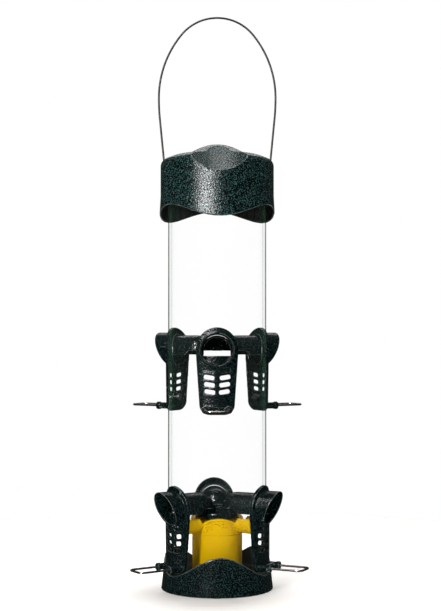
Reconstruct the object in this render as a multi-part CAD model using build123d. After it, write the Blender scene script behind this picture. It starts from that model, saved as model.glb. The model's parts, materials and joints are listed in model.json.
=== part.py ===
from build123d import *
import os
from math import atan2, cos, degrees, radians, sin, tan

# Three-sided tube bird feeder, millimetres. The origin is the centre of the base's bottom rim,
# +Z is up the tube and the front port faces -Y. An azimuth is counted from -Y towards +X.

# ---- driving dimensions ----
TUBE_R = 44.45
TUBE_WALL = 3.0
TUBE_BOTTOM = 8.0
TUBE_TOP = 371.0

LOWER_Z = 74.5
UPPER_Z = 215.0
LOWER_TURN = 4.0
UPPER_AZIMUTHS = (0, 120, -120)
LOWER_AZIMUTHS = (LOWER_TURN - 60, LOWER_TURN + 60, LOWER_TURN + 180)

SEAT_GAP = 0.05
WAVE_STEPS = 48

# Port casting, measured from the centre of its collar.
PLATE_THICK = 3.0
PLATE_HALF_WIDTH = 18.75
PLATE_TOP = 20.0
PLATE_FOOT_HALF_WIDTH = 15.5
PLATE_FOOT = -56.5
PLATE_CORNER = 9.0
COLLAR_R = 15.4
SPIGOT_R = 14.5
MOUTH_R = 13.25
FLARE_R = 14.3
FLARE_START = 46.0
HOOD_TOP_REACH = 62.0
HOOD_BOTTOM_REACH = 49.0
WEIR_TOP = -5.0
SLOT_LENGTH = 9.3
SLOT_WIDTH = 3.8
SLOT_CORNER = 1.5
SLOT_TILT = 9.0
SLOT_ROWS = (-23.8, -30.1, -36.4)
BLIND_ROW = -17.4
SLOT_COLUMN_TOP = 7.3
SLOT_COLUMN_FOOT = 6.3

# Perch loop and the bosses that hold it.
PERCH_Z = -51.5
PERCH_WIRE_R = 1.0
PERCH_HALF_SPACING = 10.0
PERCH_REACH = 86.0
PERCH_ROOT = 47.5
PERCH_CORNER = 5.0
PERCH_BOSS_R = 2.9
PERCH_BOSS_REACH = 57.5
PERCH_LIP_R = 3.5
PERCH_LIP_DEPTH = 3.0
PERCH_WEB_REACH = 52.0
PERCH_WEB_HEIGHT = 4.6

# Screw from inside the tube into the port's foot.
PORT_SCREW_Z = -43.6
PORT_SCREW_R = 1.5
PORT_SCREW_TIP = TUBE_R + 2.4
PORT_SCREW_HEAD_R = 2.8
PORT_SCREW_HEAD = 1.8

# Baffle arm over the seed path, measured from the collar's centre.
ARM_R = 13.8
ARM_WALL = 2.0
ARM_DROP = 0.9
ARM_SKIRT = 5.0
ARM_SKIRT_INNER = 26.5
ARM_NOSE_CENTRE = 20.2
ARM_SCREW_REACH = 15.0

# Hub let into the noses of a tier's three arms; the lower one stands on a disc.
HUB_TOP = 1.6
HUB_CORE_R = 6.3
HUB_FINGER_REACH = 19.0
HUB_FINGER_HALF_WIDTH = 5.0
HUB_DISC_R = 18.6
HUB_DISC_TOP = -5.6
HUB_BOTTOM = -10.5
HUB_NECK_R = 7.5
HUB_SCREW_R = 1.5
HUB_SCREW_HEAD_R = 2.9
HUB_SCREW_TIP = 5.0
NUT_R = 4.0
NUT_TOP = -1.8

# Base.
BASE_FOOT_R = 50.5
BASE_SHOULDER_R = 49.0
BASE_SHOULDER_Z = 13.0
BASE_RIM_R = 47.2
BASE_PEAK = 34.5
BASE_VALLEY = 15.5
BASE_WALL = 2.2
FLOOR_LOW = 5.0
SOCKET_R = TUBE_R + 0.3
SOCKET_TOP = 14.0
DOME_R = 19.5
RECESS_R = 17.5
DOME_TOP = 17.0
RECESS_TOP = 14.0
DRAIN_REACH = 32.0
DRAIN_R = 2.0

# Seed core and deflector.
CORE_R = 22.6
CORE_WALL = 2.0
CORE_TOP = 50.0
DEFLECTOR_R = 23.0
ARCH_FOOT = 53.0
ARCH_TOP = 65.0
ARCH_R = 26.2
ARCH_BEAD_WIDTH = 2.0
ARCH_BEAD_REACH = 23.9
DISH_R = 19.4
DISH_FLOOR = 62.3
CHUTE_R = 9.0
CHUTE_WALL = 1.8
CHUTE_REACH = 38.6
CHUTE_SLOPE = 4.0
CHUTE_FLOOR = 53.4
CHUTE_WALL_TOP = ((20.0, 57.0), (25.5, 65.0), (38.6, 65.0))

# Release screw.
STUD_R = 2.5
STUD_TOP = LOWER_Z - 3.4
KNOB_R = 14.5
KNOB_BOTTOM = 2.5
KNOB_TOP = 12.0
KNOB_SCALLOPS = 8

# Bail.
BAIL_WIRE_R = 0.9
BAIL_TOP = 518.0 - BAIL_WIRE_R
BAIL_WIDEST_Z = 444.0
BAIL_HALF_WIDTH = 53.1
BAIL_TOP_ARC_R = 42.0
BAIL_LEAN = 5.6
BAIL_LEAN_ARC_R = 200.0
BAIL_LEG_X = 48.3
BAIL_KNEE_R = 60.0
BAIL_ELBOW_R = 3.0
BAIL_FOOT_X = 38.2
PIVOT_Z = 360.0
EYELET_R = 1.9
EYELET_BORE = BAIL_WIRE_R + 0.08
EYELET_FLANGE_R = 3.2

# Cap.
CAP_TURN = 3.0
CAP_WALL = 1.8
CAP_RIM_R = 52.7
CAP_MID_R = 51.4
CAP_LOW = 332.0
CAP_HIGH = 344.0
CAP_SHOULDER_Z = 381.0
CAP_SHOULDER_R = 7.0
CAP_CROWN = ((39.5, 390.3), (28.0, 392.2), (19.0, 396.4), (10.0, 399.9), (0.0, 400.8))
SCOOP_SLOPE = 36.0
SCOOP_R = 50.0
SCOOP_MEETS_WALL = 371.6
BAIL_SLOT_X = 48.95
BAIL_SLOT_TRAVEL = 1.3
BAIL_SLOT_R = 1.3
BAIL_SLOT_LOW = 379.5


# ---- helpers ----
def around(shape, azimuth):
    """Turn a shape made facing -Y to an azimuth."""
    return Rot(0, 0, azimuth) * shape


def raised(shape, height):
    return Pos(0, 0, height) * shape


def drum(radius, low, high):
    """A vertical cylinder on the axis between two heights."""
    return Pos(0, 0, low) * extrude(Circle(radius), amount=high - low)


def block(x_low, x_high, y_low, y_high, z_low, z_high):
    """A box given by its faces."""
    middle = ((x_low + x_high) / 2, (y_low + y_high) / 2, (z_low + z_high) / 2)
    return Pos(*middle) * Box(x_high - x_low, y_high - y_low, z_high - z_low)


def outward(profile, near, far):
    """Extrude a profile drawn in the XZ plane from one reach to another along -Y."""
    placed = Pos(0, -near, 0) * (Plane.XZ * profile)
    return extrude(placed, amount=far - near, dir=(0, -1, 0))


def side_prism(outline, half_width):
    """A prism across X whose outline is given as (reach along -Y, height) points."""
    corners = [(0, -reach, height) for reach, height in outline]
    face = make_face(Polyline(*corners, close=True))
    return extrude(face, amount=half_width, dir=(1, 0, 0), both=True)


def wave_height(azimuth, valley, peak, roundness):
    """Height of a three-peaked wave with a peak at azimuth 0."""
    share = (1 + cos(radians(3 * azimuth))) / 2
    return valley + (peak - valley) * share**roundness


def wave_block(valley, peak, roundness, inner_r, outer_r, depth):
    """A ring whose one side is the wavy surface and whose other side is depth above it."""
    rails = []
    for radius in (inner_r, outer_r):
        points = []
        for step in range(WAVE_STEPS):
            azimuth = 360 * step / WAVE_STEPS
            height = wave_height(azimuth, valley, peak, roundness)
            across = radius * sin(radians(azimuth))
            along = -radius * cos(radians(azimuth))
            points.append((across, along, height))
        rails.append(Spline(*points, periodic=True))
    surface = Face.make_surface_from_curves(rails[0], rails[1])
    return extrude(surface, amount=abs(depth), dir=(0, 0, 1 if depth > 0 else -1))


def turned(profile):
    """Revolve closed (radius, height) lines about the axis."""
    return revolve(Plane.XZ * make_face(profile), axis=Axis.Z)


# ---- port casting ----
def plate_outline():
    """Face of the port plate: an arch on top, sides tapering to a round-cornered foot."""
    corner_x = PLATE_FOOT_HALF_WIDTH - PLATE_CORNER
    corner_z = PLATE_FOOT + PLATE_CORNER
    arch = EllipticalCenterArc((0, 0), PLATE_HALF_WIDTH, PLATE_TOP, 0, arc_size=180)
    left = Line((-PLATE_HALF_WIDTH, 0), (-PLATE_FOOT_HALF_WIDTH, corner_z))
    left_corner = CenterArc((-corner_x, corner_z), PLATE_CORNER, 180, 90)
    foot = Line((-corner_x, PLATE_FOOT), (corner_x, PLATE_FOOT))
    right_corner = CenterArc((corner_x, corner_z), PLATE_CORNER, 270, 90)
    right = Line((PLATE_FOOT_HALF_WIDTH, corner_z), (PLATE_HALF_WIDTH, 0))
    return make_face([arch, left, left_corner, foot, right_corner, right])


def slot_column_x(height):
    """The slot columns lean together towards the foot."""
    share = (height - BLIND_ROW) / (SLOT_ROWS[-1] - BLIND_ROW)
    return SLOT_COLUMN_TOP + (SLOT_COLUMN_FOOT - SLOT_COLUMN_TOP) * share


def slot_pair(height, near, far):
    """One row of two slots, their inner ends lower."""
    pair = []
    for side in (-1, 1):
        slot = RectangleRounded(SLOT_LENGTH, SLOT_WIDTH, SLOT_CORNER)
        placed = Pos(side * slot_column_x(height), height) * (Rot(0, 0, side * SLOT_TILT) * slot)
        pair.append(outward(placed, near, far))
    return pair


def port_shell(inner, outer):
    """The shell round the tube that the port castings are cut from."""
    return drum(outer, PLATE_FOOT - 5, PLATE_TOP + 5) - drum(inner, PLATE_FOOT - 5, PLATE_TOP + 5)


def make_port():
    inner = TUBE_R + SEAT_GAP
    outer = TUBE_R + PLATE_THICK
    tube_inside = TUBE_R - TUBE_WALL
    casting = outward(plate_outline(), 0, 60) & port_shell(inner, outer)

    hood = outward(Circle(COLLAR_R), 30, HOOD_TOP_REACH + 2)
    slope = (HOOD_TOP_REACH - HOOD_BOTTOM_REACH) / (2 * COLLAR_R)
    above = 30
    cut_foot = (HOOD_BOTTOM_REACH + slope * (COLLAR_R - above), -above)
    cut_head = (HOOD_BOTTOM_REACH + slope * (COLLAR_R + above), above)
    hood -= side_prism([cut_foot, cut_head, (90, above), (90, -above)], 30)
    casting += hood - drum(inner, -above, above)
    spigot = outward(Circle(SPIGOT_R), 30, 60) & port_shell(tube_inside, inner + 1)
    casting += spigot
    casting -= outward(Circle(MOUTH_R), 30, HOOD_TOP_REACH + 4)
    flare_length = HOOD_TOP_REACH - FLARE_START
    flare = Rot(90, 0, 0) * Cone(MOUTH_R, FLARE_R, flare_length)
    casting -= Pos(0, -FLARE_START - flare_length / 2, 0) * flare
    weir = outward(Circle(MOUTH_R + 0.5), 30, 60) & port_shell(tube_inside, TUBE_R)
    casting += weir & block(-20, 20, -60, -30, -20, WEIR_TOP)

    web = block(-PERCH_HALF_SPACING, PERCH_HALF_SPACING, -PERCH_WEB_REACH, -40,
                PERCH_Z - PERCH_WEB_HEIGHT / 2, PERCH_Z + PERCH_WEB_HEIGHT / 2)
    casting += web - drum(inner, PLATE_FOOT, 0)
    for side in (-1, 1):
        place = Pos(side * PERCH_HALF_SPACING, PERCH_Z)
        boss = outward(place * Circle(PERCH_BOSS_R), 40, PERCH_BOSS_REACH)
        boss += outward(place * Circle(PERCH_LIP_R), PERCH_BOSS_REACH - PERCH_LIP_DEPTH, PERCH_BOSS_REACH)
        casting += boss - drum(inner, PLATE_FOOT, 0)
        casting -= outward(place * Circle(PERCH_WIRE_R + SEAT_GAP), PERCH_ROOT, 60)

    for height in SLOT_ROWS:
        for slot in slot_pair(height, 40, 60):
            casting -= slot
    for slot in slot_pair(BLIND_ROW, 40, 60):
        casting -= slot - drum(outer - 1.2, PLATE_FOOT, 0)
    casting -= outward(Pos(0, PORT_SCREW_Z) * Circle(PORT_SCREW_R + SEAT_GAP), 40, PORT_SCREW_TIP)
    return casting


def make_port_screw():
    """Pan head inside the tube, shank through the tube wall into the plate."""
    inside = TUBE_R - TUBE_WALL
    place = Pos(0, PORT_SCREW_Z)
    screw = outward(place * Circle(PORT_SCREW_R), inside - 0.5, PORT_SCREW_TIP - 0.1)
    screw += outward(place * Circle(PORT_SCREW_HEAD_R), inside - PORT_SCREW_HEAD - 0.2, inside - 0.2)
    return screw


def make_perch():
    """Round-wire loop lying level, its two ends in the casting's bosses."""
    x = PERCH_HALF_SPACING
    path = FilletPolyline(
        (-x, -PERCH_ROOT - 0.5, PERCH_Z),
        (-x, -PERCH_REACH, PERCH_Z),
        (x, -PERCH_REACH, PERCH_Z),
        (x, -PERCH_ROOT - 0.5, PERCH_Z),
        radius=PERCH_CORNER,
    )
    section = Plane(origin=path @ 0, z_dir=path % 0) * Circle(PERCH_WIRE_R)
    return sweep(section, path=path)


# ---- baffle arms and hubs ----
def make_arm():
    """Half-round roof from the tube wall to the middle, closed by a quarter-round nose."""
    reach = TUBE_R - TUBE_WALL - SEAT_GAP
    inner_r = ARM_R - ARM_WALL
    place = Pos(0, -ARM_DROP)
    arm = outward(place * Circle(ARM_R), ARM_NOSE_CENTRE, 50)
    arm += Pos(0, -ARM_NOSE_CENTRE, -ARM_DROP) * Sphere(ARM_R)
    hollow = outward(place * Circle(inner_r), ARM_NOSE_CENTRE, 50)
    hollow += Pos(0, -ARM_NOSE_CENTRE, -ARM_DROP) * Sphere(inner_r)
    envelope = arm & block(-20, 20, -50, 0, -ARM_DROP, 20)
    arm = envelope - hollow

    step = ARM_SKIRT - ARM_DROP
    skirt_side = [
        (ARM_SKIRT_INNER - step, -ARM_DROP),
        (ARM_SKIRT_INNER, -ARM_SKIRT),
        (50, -ARM_SKIRT),
        (50, -ARM_DROP),
    ]
    skirt = side_prism(skirt_side, ARM_R)
    skirt -= block(-inner_r, inner_r, -60, 0, -ARM_SKIRT - 1, 0)
    arm += skirt

    pillar = Pos(0, -ARM_SCREW_REACH, -ARM_DROP) * extrude(Circle(3.0), amount=ARM_R)
    arm += pillar & envelope
    arm -= hub_finger(SEAT_GAP, -ARM_SKIRT, HUB_TOP + SEAT_GAP)
    arm -= Pos(0, -ARM_SCREW_REACH, 0) * extrude(Circle(HUB_SCREW_R + SEAT_GAP), amount=HUB_SCREW_TIP + 1)
    return arm & drum(reach, -20, 20)


def hub_finger(clearance, low, high):
    """Round-ended finger from the axis to under an arm's screw pillar."""
    half_width = HUB_FINGER_HALF_WIDTH + clearance
    end = HUB_FINGER_REACH - HUB_FINGER_HALF_WIDTH
    finger = block(-half_width, half_width, -end, 0, low, high)
    return finger + Pos(0, -end, 0) * drum(half_width, low, high)


def screw_cone(low, clearance):
    """Countersunk head, its face down."""
    rise = HUB_SCREW_HEAD_R - HUB_SCREW_R
    cone = extrude(Circle(HUB_SCREW_HEAD_R + clearance), amount=rise, taper=45)
    return Pos(0, -ARM_SCREW_REACH, low) * cone


def make_hub(low):
    """Three-fingered plate that the arms are screwed down to, on a disc if it reaches lower."""
    hub = drum(HUB_CORE_R, -ARM_DROP, HUB_TOP)
    under_arms = -ARM_DROP - SEAT_GAP
    if low < -ARM_DROP:
        hub += drum(HUB_NECK_R, low, under_arms)
        hub += chamfer(drum(HUB_DISC_R, low, HUB_DISC_TOP).edges(), 0.8)
    for azimuth in UPPER_AZIMUTHS:
        hub += around(hub_finger(0, low, HUB_TOP), azimuth)
    if low < -ARM_DROP:
        hub -= drum(NUT_R + SEAT_GAP, low - 1, NUT_TOP)
    for azimuth in UPPER_AZIMUTHS:
        hole = Pos(0, -ARM_SCREW_REACH, low) * extrude(Circle(HUB_SCREW_R + SEAT_GAP), amount=20)
        hub -= around(hole + screw_cone(low, SEAT_GAP), azimuth)
    return hub


def make_hub_screw(low):
    """Countersunk screw up through the hub into an arm's pillar."""
    shank = Pos(0, -ARM_SCREW_REACH, low) * extrude(Circle(HUB_SCREW_R), amount=HUB_SCREW_TIP - low)
    slot = Pos(0, -ARM_SCREW_REACH, low) * Box(0.7, 4.4, 1.2)
    return shank + screw_cone(low, 0) - slot


def make_hub_nut():
    """Round insert for the release screw; the thread is left plain."""
    nut = drum(NUT_R, HUB_BOTTOM, NUT_TOP - 0.1)
    return nut - drum(STUD_R + SEAT_GAP, HUB_BOTTOM - 1, NUT_TOP - 1.0)


# ---- tube ----
def make_tube():
    tube = drum(TUBE_R, TUBE_BOTTOM, TUBE_TOP) - drum(TUBE_R - TUBE_WALL, 0, TUBE_TOP + 1)
    for height, azimuths in ((UPPER_Z, UPPER_AZIMUTHS), (LOWER_Z, LOWER_AZIMUTHS)):
        for azimuth in azimuths:
            mouth = outward(Pos(0, height) * Circle(SPIGOT_R + SEAT_GAP), 30, 60)
            screw_hole = outward(Pos(0, height + PORT_SCREW_Z) * Circle(PORT_SCREW_R + 0.1), 30, 60)
            tube -= around(mouth, azimuth)
            tube -= around(screw_hole, azimuth)
    for azimuth in (90, -90):
        tube -= around(outward(Pos(0, PIVOT_Z) * Circle(EYELET_R + SEAT_GAP), 30, 60), azimuth)
    return tube


def make_eyelet():
    """Flanged bush in the tube wall that a bail end turns in."""
    inside = TUBE_R - TUBE_WALL
    place = Pos(0, PIVOT_Z)
    eyelet = outward(place * Circle(EYELET_R), inside - 0.6, TUBE_R + 0.8)
    eyelet += outward(place * Circle(EYELET_FLANGE_R), TUBE_R + 0.15, TUBE_R + 0.8)
    eyelet += outward(place * Circle(EYELET_FLANGE_R - 0.5), inside - 0.9, inside - 0.25)
    return eyelet - outward(place * Circle(EYELET_BORE), 30, 60)


# ---- base, core and deflector ----
def base_outer_profile(inset):
    """(radius, height) points up the outside of the base wall, set in by a wall's depth."""
    return [
        (BASE_FOOT_R - inset, 0),
        (BASE_SHOULDER_R - inset, BASE_SHOULDER_Z),
        (BASE_RIM_R - inset, BASE_PEAK + 1),
    ]


def make_base_cup():
    """Cast cup with a wavy rim, a floor for the tube and a domed recess under its middle."""
    outside = base_outer_profile(0)
    cup = turned(Polyline((0, 0), *outside, (0, BASE_PEAK + 1), close=True))
    low_inside = BASE_FOOT_R - BASE_WALL
    under = Polyline(
        (RECESS_R + BASE_WALL, -1),
        (low_inside, -1),
        (low_inside - 0.4, FLOOR_LOW),
        (RECESS_R + BASE_WALL, FLOOR_LOW),
        close=True,
    )
    cup -= turned(under)
    cup -= drum(RECESS_R, -1, RECESS_TOP)
    wall_inside = base_outer_profile(BASE_WALL)
    above = Polyline(
        (DOME_R, TUBE_BOTTOM),
        (SOCKET_R, TUBE_BOTTOM),
        (SOCKET_R, SOCKET_TOP),
        (wall_inside[1][0], SOCKET_TOP),
        wall_inside[2],
        (wall_inside[2][0], BASE_PEAK + 3),
        (DOME_R, BASE_PEAK + 3),
        close=True,
    )
    cup -= turned(above)
    cup -= drum(DOME_R + 0.1, DOME_TOP, BASE_PEAK + 3)
    cup -= drum(STUD_R + 0.3, 0, BASE_PEAK)
    cup -= around(wave_block(BASE_VALLEY, BASE_PEAK, 1.0, 40, 60, 40), LOWER_TURN)
    for azimuth in LOWER_AZIMUTHS:
        cup -= around(Pos(0, -DRAIN_REACH, 0) * drum(DRAIN_R, 0, SOCKET_TOP), azimuth)
    return cup


def make_core():
    """Hollow drum that fills the tube below the lower ports."""
    core = drum(CORE_R, TUBE_BOTTOM, CORE_TOP) - drum(CORE_R - CORE_WALL, 0, CORE_TOP - CORE_WALL)
    return core - drum(STUD_R + 0.4, 0, CORE_TOP + 1)


def chute_shape(radius):
    """Round-bottomed trough along the sloping seed path, open upwards."""
    run = 60
    trough = outward(Circle(radius), 0, run)
    trough += outward(Pos(0, 20) * Rectangle(2 * radius, 40), 0, run)
    start_z = CHUTE_FLOOR + CHUTE_R + DEFLECTOR_R * tan(radians(CHUTE_SLOPE))
    return Pos(0, 0, start_z) * (Rot(CHUTE_SLOPE, 0, 0) * trough)


def arch(inset, reach):
    """Low round ridge from the middle out to one side of the deflector."""
    outline = Pos(0, ARCH_TOP - ARCH_R) * Circle(ARCH_R - inset)
    return outward(outline, 0, reach)


def make_deflector():
    """Three ridges that turn the seed into three chutes, one to each lower port."""
    body = drum(DEFLECTOR_R, CORE_TOP, ARCH_FOOT)
    above_foot = drum(60, ARCH_FOOT, 80)
    for azimuth in UPPER_AZIMUTHS:
        ridge = arch(0, 40) & drum(DEFLECTOR_R, ARCH_FOOT, 80)
        bead = (arch(0, 40) - arch(ARCH_BEAD_WIDTH, 50)) & above_foot
        bead &= drum(ARCH_BEAD_REACH, ARCH_FOOT, 80) - drum(DEFLECTOR_R - 1, ARCH_FOOT, 80)
        body += around(ridge + bead, azimuth)
    body -= drum(DISH_R, DISH_FLOOR, 80)
    chute_side = [(20, 40), *CHUTE_WALL_TOP, (CHUTE_REACH, 40)]
    for azimuth in UPPER_AZIMUTHS:
        chute = chute_shape(CHUTE_R + CHUTE_WALL) & side_prism(chute_side, 30)
        chute -= chute_shape(CHUTE_R)
        chute -= drum(DEFLECTOR_R - 1, 0, 100)
        body += around(chute & drum(CHUTE_REACH, 40, 80), azimuth + 60)
    body -= drum(STUD_R + 0.4, 0, 100)
    return around(body, LOWER_TURN)


# ---- release screw ----
def make_knob():
    """Scalloped thumb knob in the recess under the base."""
    knob = drum(KNOB_R, KNOB_BOTTOM, KNOB_TOP)
    knob = fillet(knob.edges(), 1.2)
    for step in range(KNOB_SCALLOPS):
        scallop = Pos(0, -KNOB_R - 2.2, 0) * drum(4.0, 0, 20)
        knob -= around(scallop, 360 * step / KNOB_SCALLOPS)
    return knob - drum(STUD_R + 0.02, KNOB_BOTTOM + 1.5, 20)


def make_stud():
    return chamfer(drum(STUD_R, KNOB_BOTTOM + 1.6, STUD_TOP).edges().group_by(Axis.Z)[-1], 0.6)


def make_thrust_washer():
    return drum(8.0, KNOB_TOP + 0.2, RECESS_TOP - 0.5) - drum(STUD_R + 0.05, 0, 20)


def make_stud_clip():
    """Open ring on the stud above the dome that keeps the screw in the base."""
    ring = drum(5.2, DOME_TOP + 0.4, DOME_TOP + 1.3) - drum(STUD_R + 0.03, 0, 30)
    return ring - block(-1.2, 1.2, -10, 0, 0, 30)


# ---- bail ----
def bail_half():
    """Centre line from the crown down one leg and in through the eyelet, in the XZ plane."""
    rise = BAIL_TOP - BAIL_WIDEST_Z
    top_r = BAIL_TOP_ARC_R
    half = BAIL_HALF_WIDTH
    side_r = (2 * rise * top_r - half**2 - rise**2) / (2 * (top_r - half))
    centre_x = half - side_r
    crown_z = rise - top_r
    joint = degrees(atan2(crown_z, -centre_x))
    crown = CenterArc((0, BAIL_WIDEST_Z + crown_z), top_r, 90, joint - 90)
    side = CenterArc((centre_x, BAIL_WIDEST_Z), side_r, joint, -joint)
    lean = CenterArc((half - BAIL_LEAN_ARC_R, BAIL_WIDEST_Z), BAIL_LEAN_ARC_R, 0, -BAIL_LEAN)
    lean_end = lean @ 1
    knee_top_x = BAIL_LEG_X + BAIL_KNEE_R * (1 - cos(radians(BAIL_LEAN)))
    knee_top_z = lean_end.Y - (lean_end.X - knee_top_x) / tan(radians(BAIL_LEAN))
    knee_z = knee_top_z - BAIL_KNEE_R * sin(radians(BAIL_LEAN))
    slope = Line(lean_end, (knee_top_x, knee_top_z))
    knee = CenterArc((BAIL_LEG_X + BAIL_KNEE_R, knee_z), BAIL_KNEE_R, 180 - BAIL_LEAN, BAIL_LEAN)
    leg = Line((BAIL_LEG_X, knee_z), (BAIL_LEG_X, PIVOT_Z + BAIL_ELBOW_R))
    elbow_x = BAIL_LEG_X - BAIL_ELBOW_R
    elbow = CenterArc((elbow_x, PIVOT_Z + BAIL_ELBOW_R), BAIL_ELBOW_R, 0, -90)
    foot = Line((elbow_x, PIVOT_Z), (BAIL_FOOT_X, PIVOT_Z))
    return Wire([crown, side, lean, slope, knee, leg, elbow, foot])


def make_bail():
    path = Plane.XZ * bail_half()
    section = Plane(origin=(0, 0, BAIL_TOP), z_dir=(1, 0, 0)) * Circle(BAIL_WIRE_R)
    half = sweep(section, path=path)
    return half + mirror(half, about=Plane.YZ)


def make_bail_stop():
    """Push-on washer that keeps a bail end in its eyelet."""
    place = Pos(0, PIVOT_Z)
    return outward(place * Circle(2.4), 38.8, 40.0) - outward(place * Circle(BAIL_WIRE_R + 0.03), 30, 60)


# ---- cap ----
def cap_profile(inset):
    """Half outline of the cap's outside as closed lines, set in by a wall's depth."""
    shoulder_r = CAP_SHOULDER_R - inset
    rim = (CAP_RIM_R - inset, CAP_LOW - 1)
    mid = (CAP_MID_R - inset, CAP_LOW + 22)
    wall_top = (CAP_MID_R - inset, CAP_SHOULDER_Z)
    flare = Line(rim, mid)
    wall = Line(mid, wall_top)
    shoulder = CenterArc((CAP_MID_R - CAP_SHOULDER_R, CAP_SHOULDER_Z), shoulder_r, 0, 70)
    crown = [(radius, height - inset) for radius, height in CAP_CROWN]
    top = Spline(shoulder @ 1, *crown, tangents=[(-1, 0.36), (-1, 0)])
    axis_line = Line(crown[-1], (0, CAP_LOW - 1))
    bottom = Line((0, CAP_LOW - 1), rim)
    return [flare, wall, shoulder, top, axis_line, bottom]


def scoop(radius):
    """Sloping cylinder whose lower side hollows one face of the cap's top."""
    slope = radians(SCOOP_SLOPE)
    axis_r = CAP_MID_R + SCOOP_R * sin(slope)
    axis_z = SCOOP_MEETS_WALL + SCOOP_R * cos(slope)
    tool = Rot(90 + SCOOP_SLOPE, 0, 0) * Cylinder(radius, 300)
    return Pos(0, -axis_r, axis_z) * tool


def make_cap():
    """Cast cover: a wavy skirt, a rounded shoulder and a top hollowed by three scoops."""
    outside = turned(cap_profile(0))
    inside = turned(cap_profile(CAP_WALL))
    for azimuth in UPPER_AZIMUTHS:
        outside -= around(scoop(SCOOP_R), azimuth)
        inside -= around(scoop(SCOOP_R + CAP_WALL), azimuth)
    cap = outside - inside
    cap -= wave_block(CAP_HIGH, CAP_LOW, 1.0, 40, 60, -20)
    cap = around(cap, CAP_TURN)
    for side in (-1, 1):
        slot = Pos(side * BAIL_SLOT_X, 0) * SlotCenterToCenter(BAIL_SLOT_TRAVEL, 2 * BAIL_SLOT_R)
        cap -= Pos(0, 0, BAIL_SLOT_LOW) * extrude(slot, amount=20)
    return cap


def make_cap_pad():
    """Soft rest between the cap's ceiling and the tube's rim, on the bail's pivot line."""
    pad = block(-3, 3, -TUBE_R, -(TUBE_R - TUBE_WALL), TUBE_TOP + 0.3, TUBE_TOP + 6)
    return pad


# ---- write the nodes ----
def write(name, shape):
    export_step(shape, "parts/" + name + ".step")


def write_tier(tier, height, azimuths, hub_low):
    port = raised(make_port(), height)
    perch = raised(make_perch(), height)
    arm = raised(make_arm(), height)
    for number, azimuth in enumerate(azimuths, start=1):
        write(f"{tier}_port_{number}", around(port, azimuth))
        write(f"{tier}_perch_{number}", around(perch, azimuth))
        write(f"{tier}_baffle_{number}", around(arm, azimuth))
    screw = raised(make_port_screw(), height)
    write(f"{tier}_port_screws", Compound(children=[around(screw, a) for a in azimuths]))
    hub_screw = raised(make_hub_screw(hub_low), height)
    write(f"{tier}_hub_screws", Compound(children=[around(hub_screw, a) for a in azimuths]))
    write(f"{tier}_hub", around(raised(make_hub(hub_low), height), azimuths[0]))


os.makedirs("parts", exist_ok=True)
write("seed_tube", make_tube())
write_tier("upper", UPPER_Z, UPPER_AZIMUTHS, -ARM_DROP)
write_tier("lower", LOWER_Z, LOWER_AZIMUTHS, HUB_BOTTOM)
write("hub_nut", raised(make_hub_nut(), LOWER_Z))
write("bail_eyelets", Compound(children=[around(make_eyelet(), a) for a in (90, -90)]))
write("base_cup", make_base_cup())
write("core_drum", make_core())
write("seed_deflector", make_deflector())
write("release_knob", make_knob())
write("release_stud", make_stud())
write("thrust_washer", make_thrust_washer())
write("stud_clip", make_stud_clip())
write("bail", make_bail())
write("bail_stops", Compound(children=[around(make_bail_stop(), a) for a in (90, -90)]))
write("cap", make_cap())
write("cap_pads", Compound(children=[around(make_cap_pad(), a) for a in (90, -90)]))
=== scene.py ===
import json
import math

import bmesh
import bpy
from mathutils import Matrix, Vector


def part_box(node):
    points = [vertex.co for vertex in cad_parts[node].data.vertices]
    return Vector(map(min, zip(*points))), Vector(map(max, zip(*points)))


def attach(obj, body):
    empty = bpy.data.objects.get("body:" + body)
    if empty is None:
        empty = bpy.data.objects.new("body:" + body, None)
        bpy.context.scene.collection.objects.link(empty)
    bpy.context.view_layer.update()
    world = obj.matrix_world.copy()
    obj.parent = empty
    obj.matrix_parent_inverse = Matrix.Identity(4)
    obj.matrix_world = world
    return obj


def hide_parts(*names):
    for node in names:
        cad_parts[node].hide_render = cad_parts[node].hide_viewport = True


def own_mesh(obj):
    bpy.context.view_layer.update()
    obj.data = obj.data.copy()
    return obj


# Looks of the tube bird feeder. Metres; +Z up; the front port faces -Y, towards the camera.

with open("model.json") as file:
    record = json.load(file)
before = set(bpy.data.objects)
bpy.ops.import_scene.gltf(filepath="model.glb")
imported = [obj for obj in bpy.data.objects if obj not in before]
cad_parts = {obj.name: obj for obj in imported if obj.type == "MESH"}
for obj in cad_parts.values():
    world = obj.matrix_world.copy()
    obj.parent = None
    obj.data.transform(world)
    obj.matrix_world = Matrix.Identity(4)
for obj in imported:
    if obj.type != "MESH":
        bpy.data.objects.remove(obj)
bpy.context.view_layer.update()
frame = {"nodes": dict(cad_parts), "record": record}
scene = bpy.context.scene

MM = 0.001

# Where the ports face, in degrees from -Y towards +X.
LOWER_TURN = 4
TIERS = {"upper": (0, 120, -120), "lower": (LOWER_TURN - 60, LOWER_TURN + 60, LOWER_TURN + 180)}

# Walls of the cup-shaped castings: middle radius at z 0, its change per metre of z, top.
CAP_WALL = (50.9 * MM, 0.0, 371 * MM)
BASE_WALL = (49.4 * MM, -0.094, 40 * MM)

# Seed tube: radii between which its wall's inner part passes into its outer part.
WALL_INNER_PART = 42.5 * MM
WALL_OUTER_PART = 43.5 * MM

# Deflector: the centre of the front arch's curve and the limits of the pits under it.
ARCH_CENTRE_Z = 38.8 * MM
PITS_LOW_Z = 52.5 * MM
PITS_FRONT_Y = -8 * MM

# Chute ribs: radii at which they start and reach their full depth.
RIB_START = 24.0 * MM
RIB_FULL = 25.0 * MM
RIB_PITCH = 2.4 * MM
RIB_DEPTH = 0.28 * MM
RIB_SLANT = 0.7

# Perch loops.
PERCH_WIRE_R = 1.0 * MM
PERCH_HALF_SPACING = 10 * MM
PERCH_REACH = 86 * MM
PERCH_ROOT = 48 * MM
PERCH_CORNER = 5 * MM

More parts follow.
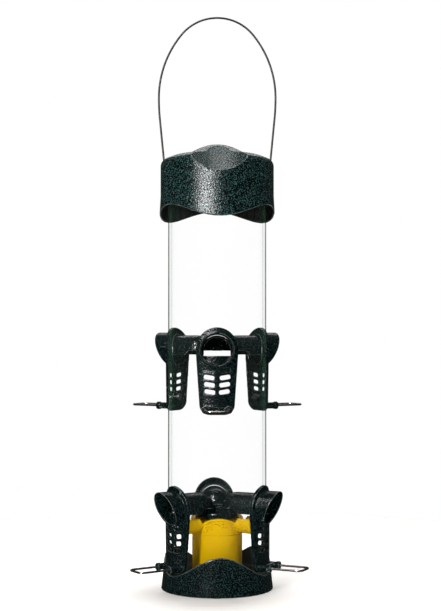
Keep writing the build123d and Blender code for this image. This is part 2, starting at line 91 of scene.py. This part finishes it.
# Bail.
BAIL_WIRE_R = 0.9 * MM
BAIL_TOP = 518.0 * MM - BAIL_WIRE_R
BAIL_WIDEST_Z = 444.0 * MM
BAIL_HALF_WIDTH = 53.1 * MM
BAIL_TOP_ARC_R = 42.0 * MM
BAIL_LEAN = 5.6
BAIL_LEAN_ARC_R = 200.0 * MM
BAIL_LEG_X = 48.3 * MM
BAIL_KNEE_R = 60.0 * MM
BAIL_ELBOW_R = 3.0 * MM
BAIL_FOOT_X = 38.2 * MM
PIVOT_Z = 360.0 * MM

# Stage: the floor's radius and the step from the middle of its painted shadow to the origin.
FLOOR_R = 0.5
PAINTED_SHADOW_TO_ORIGIN = (0.008, 0.045, 0)


# ---- node helpers ----
class Shader:
    """A material with a Principled node and short calls for the nodes that feed it."""

    def __init__(self, name):
        self.material = bpy.data.materials.new(name)
        self.material.use_nodes = True
        self.nodes = self.material.node_tree.nodes
        self.links = self.material.node_tree.links
        self.principled = self.nodes["Principled BSDF"]
        self.place = self.nodes.new("ShaderNodeTexCoord").outputs["Object"]

    def set(self, **values):
        for name, value in values.items():
            self.principled.inputs[name.replace("_", " ")].default_value = value

    def feed(self, name, source):
        self.links.new(source, self.principled.inputs[name])

    def add(self, kind, inputs=(), **settings):
        """A new node; inputs are (socket, value or link) pairs."""
        node = self.nodes.new(kind)
        for name, value in settings.items():
            setattr(node, name, value)
        for socket, value in inputs:
            if isinstance(value, bpy.types.NodeSocket):
                self.links.new(value, node.inputs[socket])
            else:
                node.inputs[socket].default_value = value
        return node

    def stretched(self, x, y, z):
        return self.add("ShaderNodeMapping", [("Vector", self.place), ("Scale", (x, y, z))]).outputs[0]

    def noise(self, scale, detail=2.0, roughness=0.5, vector=None):
        inputs = [("Vector", vector or self.place), ("Scale", scale), ("Detail", detail)]
        inputs.append(("Roughness", roughness))
        return self.add("ShaderNodeTexNoise", inputs).outputs["Fac"]

    def cells(self, scale, smooth, vector=None):
        node = self.add("ShaderNodeTexVoronoi", feature="SMOOTH_F1")
        self.links.new(vector or self.place, node.inputs["Vector"])
        node.inputs["Scale"].default_value = scale
        node.inputs["Smoothness"].default_value = smooth
        return node.outputs["Distance"]

    def warped(self, scale, amount):
        """Object coordinates pushed about by noise, so that a pattern isn't regular."""
        push = self.add("ShaderNodeTexNoise", [("Vector", self.place), ("Scale", scale)])
        scaled = self.add("ShaderNodeVectorMath", [(0, push.outputs["Color"])], operation="SCALE")
        scaled.inputs["Scale"].default_value = amount
        both = self.add("ShaderNodeVectorMath", [(0, self.place), (1, scaled.outputs[0])])
        return both.outputs[0]

    def ramp(self, source, *stops):
        """Colour ramp; stops are (position, colour) with a grey or an RGB colour."""
        node = self.add("ShaderNodeValToRGB", [("Fac", source)])
        points = node.color_ramp.elements
        while len(points) < len(stops):
            points.new(0.5)
        for point, (position, colour) in zip(points, stops):
            point.position = position
            grey = isinstance(colour, (int, float))
            point.color = (colour, colour, colour, 1) if grey else (*colour, 1)
        return node.outputs["Color"]

    def profile(self, source, longest, *stops):
        """Colour ramp over a length; stops are (length, colour), none longer than longest."""
        scaled = self.math("MULTIPLY", source, 1 / longest)
        return self.ramp(scaled, *[(length / longest, colour) for length, colour in stops])

    def coordinates(self):
        """The X, Y and Z of the place."""
        return self.add("ShaderNodeSeparateXYZ", [("Vector", self.place)]).outputs

    def math(self, operation, first, second=0.0, clamp=False):
        node = self.add("ShaderNodeMath", [(0, first), (1, second)], operation=operation)
        node.use_clamp = clamp
        return node.outputs[0]

    def mix(self, factor, first, second):
        node = self.add("ShaderNodeMix", data_type="RGBA")
        for socket, value in ((0, factor), (6, first), (7, second)):
            if isinstance(value, bpy.types.NodeSocket):
                self.links.new(value, node.inputs[socket])
            elif socket == 0:
                node.inputs[socket].default_value = value
            else:
                node.inputs[socket].default_value = (*value, 1)
        return node.outputs[2]

    def bump(self, height, strength, distance, under=None):
        inputs = [("Height", height), ("Strength", strength), ("Distance", distance)]
        node = self.add("ShaderNodeBump", inputs)
        if under is not None:
            self.links.new(under, node.inputs["Normal"])
        return node.outputs[0]


# ---- materials ----
def radius_of(s):
    """Distance from the feeder's axis."""
    flat = s.add("ShaderNodeVectorMath", [(0, s.place), (1, (1, 1, 0))], operation="MULTIPLY")
    return s.add("ShaderNodeVectorMath", [(0, flat.outputs[0])], operation="LENGTH").outputs["Value"]


def hammertone(name, pale, beaten, wall=None, inside=()):
    """Hammered powder coat: fine veins in the pale colour on near-black green, with a painted highlight on
    convex edges.

    beaten is the strength of the dents. Inside a cup's wall the coat is plain and dull, in the two
    inside colours.
    """
    s = Shader(name)
    place = s.warped(450, 0.0007)
    worms = s.noise(960, 1.0, 0.5, vector=place)
    dents = s.cells(800, vector=place, smooth=0.3)
    patch = s.noise(30, 2)
    veins = s.ramp(worms, (0.53, 0.0), (0.60, 1.0))
    patchy = s.ramp(patch, (0.35, 0.0), (0.65, 1.0))
    dark = s.mix(patchy, (0.0005, 0.0015, 0.0016), (0.0009, 0.0034, 0.0034))
    coat = s.mix(veins, dark, pale)
    # Painted highlight: convex edges are made pale where rims and lips would catch the light.
    painted_highlight_edges = s.add("ShaderNodeNewGeometry").outputs["Pointiness"]
    coat = s.mix(s.ramp(painted_highlight_edges, (0.525, 0.0), (0.58, 1.0)), coat, (0.24, 0.29, 0.28))
    gloss = s.ramp(worms, (0.45, 0.22), (0.60, 0.12))
    dented = s.bump(worms, beaten, 0.00030, under=s.bump(dents, 0.4 * beaten, 0.00018))
    if wall:
        radius, change, top = wall
        height = s.coordinates()["Z"]
        middle = s.math("ADD", s.math("MULTIPLY", height, change), radius)
        enclosed = s.math("LESS_THAN", radius_of(s), middle)
        within = s.math("MULTIPLY", enclosed, s.math("LESS_THAN", height, top))
        streaks = s.ramp(s.noise(1.0, 3, vector=s.stretched(220, 220, 14)), (0.35, 0.0), (0.7, 1.0))
        coat = s.mix(within, coat, s.mix(streaks, *inside))
        gloss = s.mix(within, gloss, (0.5, 0.5, 0.5))
    s.feed("Base Color", coat)
    s.feed("Roughness", gloss)
    s.set(Specular_IOR_Level=0.2)
    s.feed("Normal", dented)
    return s.material


def clear_plastic():
    """Clear tube wall: nothing face on, a green band where it is seen edge on, and at the very rim a dark
    line of painted shade that stands in for refraction.
    """
    s = Shader("clear_tube")
    facing = s.add("ShaderNodeLayerWeight", [("Blend", 0.5)]).outputs["Facing"]
    edge = s.ramp(facing, (0.0, 0.0), (0.60, 0.015), (0.66, 0.09), (0.79, 0.11), (0.83, 0.62), (1.0, 0.85))
    outside = s.profile(radius_of(s), 100 * MM, (WALL_INNER_PART, 0.15), (WALL_OUTER_PART, 1.0))
    wipe = s.noise(1.0, 3, vector=s.stretched(30, 30, 5))
    haze = s.ramp(wipe, (0.45, 0.0), (0.8, 0.008))
    s.feed("Alpha", s.math("ADD", s.math("MULTIPLY", edge, outside), haze, clamp=True))
    # The dark colour at the most grazing facing is painted shade, in place of the refraction at the tube's
    # rim.
    pale, green, deep, dark = (0.55, 0.65, 0.6), (0.16, 0.42, 0.27), (0.14, 0.34, 0.22), (0.03, 0.04, 0.035)
    s.feed("Base Color", s.ramp(facing, (0.3, pale), (0.60, green), (0.79, deep), (0.83, dark)))
    s.feed("Roughness", s.ramp(wipe, (0.3, 0.04), (0.8, 0.10)))
    s.set(IOR=1.49, Specular_IOR_Level=0.3)
    return s.material


def yellow_plastic():
    """Glossy moulded plastic with faint flow marks, pitted in a band under the deflector's front arch."""
    s = Shader("yellow_plastic")
    flow = s.noise(1.0, 3, vector=s.stretched(60, 60, 22))
    s.feed("Base Color", s.mix(s.ramp(flow, (0.3, 0.0), (0.75, 1.0)), (0.68, 0.40, 0.0), (0.78, 0.48, 0.0)))
    s.feed("Roughness", s.ramp(s.noise(240, 2), (0.3, 0.16), (0.8, 0.30)))
    s.set(Subsurface_Weight=0.08, Subsurface_Scale=0.003, Specular_IOR_Level=0.10)
    x, y, z = s.coordinates()
    across = s.math("ADD", x, s.math("MULTIPLY", y, math.tan(math.radians(LOWER_TURN))))
    rise = s.math("SUBTRACT", z, ARCH_CENTRE_Z)
    squares = s.math("ADD", s.math("MULTIPLY", across, across), s.math("MULTIPLY", rise, rise))
    under_bead = [(17.0 * MM, 0.0), (18.25 * MM, 1.0), (22.75 * MM, 1.0), (23.75 * MM, 0.0)]
    band = s.profile(s.math("SQRT", squares), 50 * MM, *under_bead)
    band = s.math("MULTIPLY", band, s.math("GREATER_THAN", z, PITS_LOW_Z))
    band = s.math("MULTIPLY", band, s.math("LESS_THAN", y, PITS_FRONT_Y))
    pits = s.ramp(s.cells(430, smooth=0.15), (0.12, 1.0), (0.42, 0.0))
    pitted = s.math("MULTIPLY", band, pits)
    low = s.bump(s.noise(170, 3), 0.10, 0.0006)
    s.feed("Normal", s.bump(pitted, 1.0, 0.0010, under=low))
    return s.material


def steel(name, colour, roughness, streak=(900, 900, 60)):
    """Drawn or turned metal with fine streaks along one direction."""
    s = Shader(name)
    lines = s.noise(1.0, 3, vector=s.stretched(*streak))
    spots = s.noise(190, 2)
    s.feed("Base Color", s.mix(s.ramp(spots, (0.35, 0.0), (0.7, 1.0)), [c * 0.72 for c in colour], colour))
    s.feed("Roughness", s.ramp(lines, (0.3, roughness), (0.75, roughness + 0.14)))
    s.set(Metallic=1.0)
    s.feed("Normal", s.bump(lines, 0.08, 0.0002))
    return s.material


def moulded(name, colour, roughness):
    """Fine-textured moulded plastic or rubber."""
    s = Shader(name)
    grain = s.noise(1500, 2)
    wear = s.noise(80, 3)
    s.feed("Base Color", s.mix(s.ramp(wear, (0.35, 0.0), (0.75, 1.0)), colour, [c * 1.8 for c in colour]))
    s.feed("Roughness", s.ramp(grain, (0.3, roughness), (0.8, min(1.0, roughness + 0.15))))
    s.feed("Normal", s.bump(grain, 0.2, 0.0002))
    return s.material


FINISHES = {
    "hammertone": hammertone("hammertone", (0.011, 0.026, 0.026), 0.62),
    "clear_tube": clear_plastic(),
    "yellow_plastic": yellow_plastic(),
    "perch_wire": steel("perch_wire", (0.44, 0.41, 0.39), 0.14),
    "bail_wire": steel("bail_wire", (0.024, 0.023, 0.022), 0.34),
    "steel": steel("zinc_steel", (0.60, 0.60, 0.62), 0.24, (300, 300, 300)),
    "brass": steel("brass", (0.68, 0.50, 0.20), 0.24, (300, 300, 300)),
    "black_plastic": moulded("black_plastic", (0.018, 0.018, 0.018), 0.42),
    "rubber": moulded("rubber", (0.022, 0.022, 0.022), 0.62),
}


CUPS = {
    "cap": hammertone(
        "hammertone_cap", (0.034, 0.084, 0.080), 1.0,
        wall=CAP_WALL, inside=((0.007, 0.009, 0.009), (0.024, 0.026, 0.024))),
    "base_cup": hammertone(
        "hammertone_base", (0.015, 0.036, 0.035), 0.6,
        wall=BASE_WALL, inside=((0.020, 0.020, 0.017), (0.050, 0.049, 0.042))),
}


# ---- pieces ----
def dress(piece, node):
    """Give a piece the finish of the CAD node that it is or stands in for."""
    piece.data.materials.clear()
    piece.data.materials.append(CUPS.get(node) or FINISHES[slot_of_node(node)])


def smooth(piece, angle=30):
    """Smooth shading that keeps corners sharper than angle degrees."""
    mesh = piece.data
    mesh.polygons.foreach_set("use_smooth", [True] * len(mesh.polygons))
    mesh.set_sharp_from_angle(angle=math.radians(angle))


def body_of_node(node):
    for body, members in frame["record"]["behaviour"]["bodies"].items():
        if node in members:
            return body
    raise KeyError(node)


def slot_of_node(node):
    for row in frame["record"]["subparts"]:
        if row["node"] == node:
            return row["material_slot"]
    raise KeyError(node)


def stand_in(name, mesh, node):
    """Put a finished mesh in the place of a CAD node, on the node's body."""
    piece = bpy.data.objects.new(name, mesh)
    scene.collection.objects.link(piece)
    dress(piece, node)
    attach(piece, body_of_node(node))
    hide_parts(node)
    return piece


def evaluated_mesh(piece):
    depsgraph = bpy.context.evaluated_depsgraph_get()
    return bpy.data.meshes.new_from_object(piece.evaluated_get(depsgraph))


def cast_mesh(node, voxel, passes, keep):
    """A node's shape with its edges and inside corners rounded off, as casting and paint leave them."""
    draft = bpy.data.objects.new("draft", frame["nodes"][node].data.copy())
    scene.collection.objects.link(draft)
    remesh = draft.modifiers.new("remesh", "REMESH")
    remesh.mode = "VOXEL"
    remesh.voxel_size = voxel * 1.0
    soften = draft.modifiers.new("soften", "SMOOTH")
    soften.factor = 0.5
    soften.iterations = passes
    thin = draft.modifiers.new("thin", "DECIMATE")
    thin.ratio = keep
    mesh = evaluated_mesh(draft)
    bpy.data.objects.remove(draft)
    mesh.polygons.foreach_set("use_smooth", [True] * len(mesh.polygons))
    return mesh


def cast_piece(node, voxel, passes, keep):
    return stand_in(node + "_casting", cast_mesh(node, voxel, passes, keep), node)


def cast_set(kind, voxel, passes, keep):
    """The six castings of one pattern, all from the first one's mesh."""
    first = f"upper_{kind}_1"
    pattern = cast_mesh(first, voxel, passes, keep)
    for tier, azimuths in TIERS.items():
        drop = middle_height(f"{tier}_{kind}_1") - middle_height(first)
        for number, azimuth in enumerate(azimuths, start=1):
            node = f"{tier}_{kind}_{number}"
            mesh = pattern.copy()
            mesh.transform(Matrix.Translation((0, 0, drop)) @ Matrix.Rotation(math.radians(azimuth), 4, "Z"))
            stand_in(node + "_casting", mesh, node)


def middle_height(node):
    low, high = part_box(node)
    return (low.z + high.z) / 2


def wire_mesh(points, radius, sides=16):
    """A round wire along points."""
    curve = bpy.data.curves.new("wire", "CURVE")
    curve.dimensions = "3D"
    curve.bevel_depth = radius
    curve.bevel_resolution = sides // 4
    curve.use_fill_caps = True
    spline = curve.splines.new("POLY")
    spline.points.add(len(points) - 1)
    for point, place in zip(spline.points, points):
        point.co = (*place, 1)
    draft = bpy.data.objects.new("wire", curve)
    scene.collection.objects.link(draft)
    mesh = evaluated_mesh(draft)
    bpy.data.objects.remove(draft)
    mesh.polygons.foreach_set("use_smooth", [True] * len(mesh.polygons))
    return mesh


def arc(centre, radius, start, end, steps):
    """Points on a circle in a plane, angles in degrees."""
    points = []
    for step in range(steps + 1):
        angle = math.radians(start + (end - start) * step / steps)
        points.append((centre[0] + radius * math.cos(angle), centre[1] + radius * math.sin(angle)))
    return points


for node_name, node_object in frame["nodes"].items():
    dress(node_object, node_name)
    smooth(node_object)

cast_set("port", 0.34 * MM, 4, 0.35)
cast_set("baffle", 0.4 * MM, 4, 0.4)
for tier in TIERS:
    cast_piece(f"{tier}_hub", 0.3 * MM, 4, 0.5)
cast_piece("base_cup", 0.8 * MM, 3, 1.0)
cast_piece("cap", 0.6 * MM, 4, 0.4)
deflector = cast_piece("seed_deflector", 0.4 * MM, 4, 0.6)


# ---- ribs of the deflector's chutes ----
def rib_chutes(mesh):
    """Fine ribs, slanting across the chutes outside the core, as waves of the surface."""
    moves = []
    for vertex in mesh.vertices:
        reach = math.hypot(vertex.co.x, vertex.co.y)
        if reach > RIB_START:
            share = min(1.0, (reach - RIB_START) / (RIB_FULL - RIB_START))
            wave = math.sin(2 * math.pi * (reach + RIB_SLANT * vertex.co.z) / RIB_PITCH)
            moves.append((vertex, vertex.normal * (RIB_DEPTH * share * wave)))
    for vertex, move in moves:
        vertex.co += move
    mesh.update()


rib_chutes(deflector.data)


# ---- perches ----
def perch_points(tier, number, azimuth):
    """The loop's centre line: two level wires and a crossbar with rounded corners."""
    low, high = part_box(f"{tier}_perch_{number}")
    height = (low.z + high.z) / 2
    half, reach, bend = PERCH_HALF_SPACING, PERCH_REACH, PERCH_CORNER
    flat = [(-half, PERCH_ROOT)]
    flat += arc((-half + bend, reach - bend), bend, 180, 90, 10)
    flat += arc((half - bend, reach - bend), bend, 90, 0, 10)
    flat += [(half, PERCH_ROOT)]
    turn = math.radians(azimuth)
    points = []
    for across, out in flat:
        x = across * math.cos(turn) + out * math.sin(turn)
        y = across * math.sin(turn) - out * math.cos(turn)
        points.append((x, y, height))
    return points


for tier, azimuths in TIERS.items():
    for number, azimuth in enumerate(azimuths, start=1):
        node_name = f"{tier}_perch_{number}"
        mesh = wire_mesh(perch_points(tier, number, azimuth), PERCH_WIRE_R)
        stand_in(node_name + "_wire", mesh, node_name)


# ---- bail ----
def bail_points():
    """The wire's centre line from one eyelet over the crown to the other, in the XZ plane."""
    rise = BAIL_TOP - BAIL_WIDEST_Z
    across, top_r = BAIL_HALF_WIDTH, BAIL_TOP_ARC_R
    side_r = (2 * rise * top_r - across**2 - rise**2) / (2 * (top_r - across))
    joint = math.degrees(math.atan2(rise - top_r, side_r - across))
    lean = math.radians(BAIL_LEAN)
    slope_end_x = BAIL_LEG_X + BAIL_KNEE_R * (1 - math.cos(lean))
    slope_start_x = across - BAIL_LEAN_ARC_R * (1 - math.cos(lean))
    slope_start_z = BAIL_WIDEST_Z - BAIL_LEAN_ARC_R * math.sin(lean)
    slope_end_z = slope_start_z - (slope_start_x - slope_end_x) / math.tan(lean)
    knee_z = slope_end_z - BAIL_KNEE_R * math.sin(lean)
    elbow = (BAIL_LEG_X - BAIL_ELBOW_R, PIVOT_Z + BAIL_ELBOW_R)

    half = arc((0, BAIL_TOP - top_r), top_r, 90, joint, 20)
    half += arc((across - side_r, BAIL_WIDEST_Z), side_r, joint, 0, 20)[1:]
    half += arc((across - BAIL_LEAN_ARC_R, BAIL_WIDEST_Z), BAIL_LEAN_ARC_R, 0, -BAIL_LEAN, 10)[1:]
    half += arc((BAIL_LEG_X + BAIL_KNEE_R, knee_z), BAIL_KNEE_R, 180 - BAIL_LEAN, 180, 8)
    half += arc(elbow, BAIL_ELBOW_R, 0, -90, 8)
    half.append((BAIL_FOOT_X, PIVOT_Z))
    other = [(-x, z) for x, z in reversed(half[1:])]
    return [(x, 0.0, z) for x, z in other + half]


bail = stand_in("bail_wire", wire_mesh(bail_points(), BAIL_WIRE_R), "bail")
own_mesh(bail)


# ---- stage, light and camera ----
def floor_material():
    """Warm pale paper with faint streaks that glows more the further it lies from a spot in front of the
    feeder: plain white further off, with a painted shadow where the feeder stands.
    """
    s = Shader("floor")
    grain = s.noise(1.0, 3, vector=s.stretched(12, 90, 12))
    s.feed("Base Color", s.mix(s.ramp(grain, (0.3, 0.0), (0.7, 1.0)), (0.90, 0.84, 0.79), (0.95, 0.93, 0.91)))
    s.set(Roughness=0.5, Specular_IOR_Level=0.2)
    # Painted shadow and glow: the floor's own light is faint near that spot and grows further off.
    off = s.add("ShaderNodeVectorMath", [(0, s.place), (1, PAINTED_SHADOW_TO_ORIGIN)])
    reach = s.add("ShaderNodeVectorMath", [(0, off.outputs[0])], operation="LENGTH").outputs["Value"]
    s.set(Emission_Color=(1, 1, 1, 1))
    s.feed("Emission Strength", s.ramp(reach, (0.03, 0.02), (0.055, 0.20), (0.10, 0.42)))
    return s.material


def make_floor():
    mesh = bpy.data.meshes.new("floor")
    made = bmesh.new()
    bmesh.ops.create_circle(made, cap_ends=True, segments=96, radius=FLOOR_R)
    made.to_mesh(mesh)
    made.free()
    floor = bpy.data.objects.new("floor", mesh)
    scene.collection.objects.link(floor)
    mesh.materials.append(floor_material())
    floor.visible_glossy = False


def softbox(name, place, target, width, height, power, lights=True, shines=True):
    """A rectangular lamp; lights turns its matte light on and shines its reflections."""
    light = bpy.data.lights.new(name, "AREA")
    light.shape = "RECTANGLE"
    light.size = width
    light.size_y = height
    light.energy = power
    lamp = bpy.data.objects.new(name, light)
    scene.collection.objects.link(lamp)
    lamp.location = place
    lamp.rotation_mode = "QUATERNION"
    lamp.rotation_quaternion = (Vector(target) - Vector(place)).to_track_quat("-Z", "Y")
    lamp.visible_camera = False
    lamp.visible_diffuse = lights
    lamp.visible_glossy = shines


def make_world():
    """White to the camera, a dim studio to what is lit by it, and dimmer still in reflections."""
    world = bpy.data.worlds.new("studio")
    scene.world = world
    world.use_nodes = True
    nodes, links = world.node_tree.nodes, world.node_tree.links
    path = nodes.new("ShaderNodeLightPath")
    strength = nodes.new("ShaderNodeMix")
    strength.inputs[2].default_value = 0.30
    strength.inputs[3].default_value = 1.0
    links.new(path.outputs["Is Camera Ray"], strength.inputs[0])
    direction = nodes.new("ShaderNodeTexCoord").outputs["Generated"]
    parts = nodes.new("ShaderNodeSeparateXYZ")
    links.new(direction, parts.inputs[0])
    overhead = nodes.new("ShaderNodeMapRange")
    links.new(parts.outputs["Z"], overhead.inputs["Value"])
    for name, value in (("From Min", 0.15), ("From Max", 0.8), ("To Min", 0.03), ("To Max", 0.16)):
        overhead.inputs[name].default_value = value
    shiny = nodes.new("ShaderNodeMix")
    links.new(overhead.outputs[0], shiny.inputs[3])
    links.new(path.outputs["Is Glossy Ray"], shiny.inputs[0])
    links.new(strength.outputs[0], shiny.inputs[2])
    links.new(shiny.outputs[0], nodes["Background"].inputs["Strength"])
    nodes["Background"].inputs["Color"].default_value = (1, 1, 1, 1)


def make_camera():
    data = bpy.data.cameras.new("camera")
    data.lens = 78.0
    data.sensor_width = 36.0
    camera = bpy.data.objects.new("camera", data)
    scene.collection.objects.link(camera)
    camera.location = (0.0030, -1.201, 0.230)
    camera.rotation_euler = (math.radians(90 + 1.19), 0, 0)
    scene.camera = camera


make_floor()
make_world()
make_camera()
softbox("key", (-0.50, -1.0, 0.82), (0, 0, 0.30), 0.09, 1.0, 13, shines=False)
softbox("strip", (-0.42, -1.04, 0.60), (0, 0, 0.36), 0.36, 0.40, 34, lights=False)
softbox("fill", (1.1, -0.5, 0.60), (0, 0, 0.25), 0.08, 0.8, 1.8, shines=False)
softbox("top", (0, 0.15, 1.5), (0, 0, 0.2), 0.5, 0.4, 9)
softbox("glint", (-0.42, -0.60, 1.15), (0, 0, 0.2), 0.24, 0.14, 15, lights=False)
softbox("rim", (0, 1.0, 1.0), (0, 0, 0.2), 0.9, 0.3, 1.8, lights=False)
scene.view_settings.view_transform = "Standard"
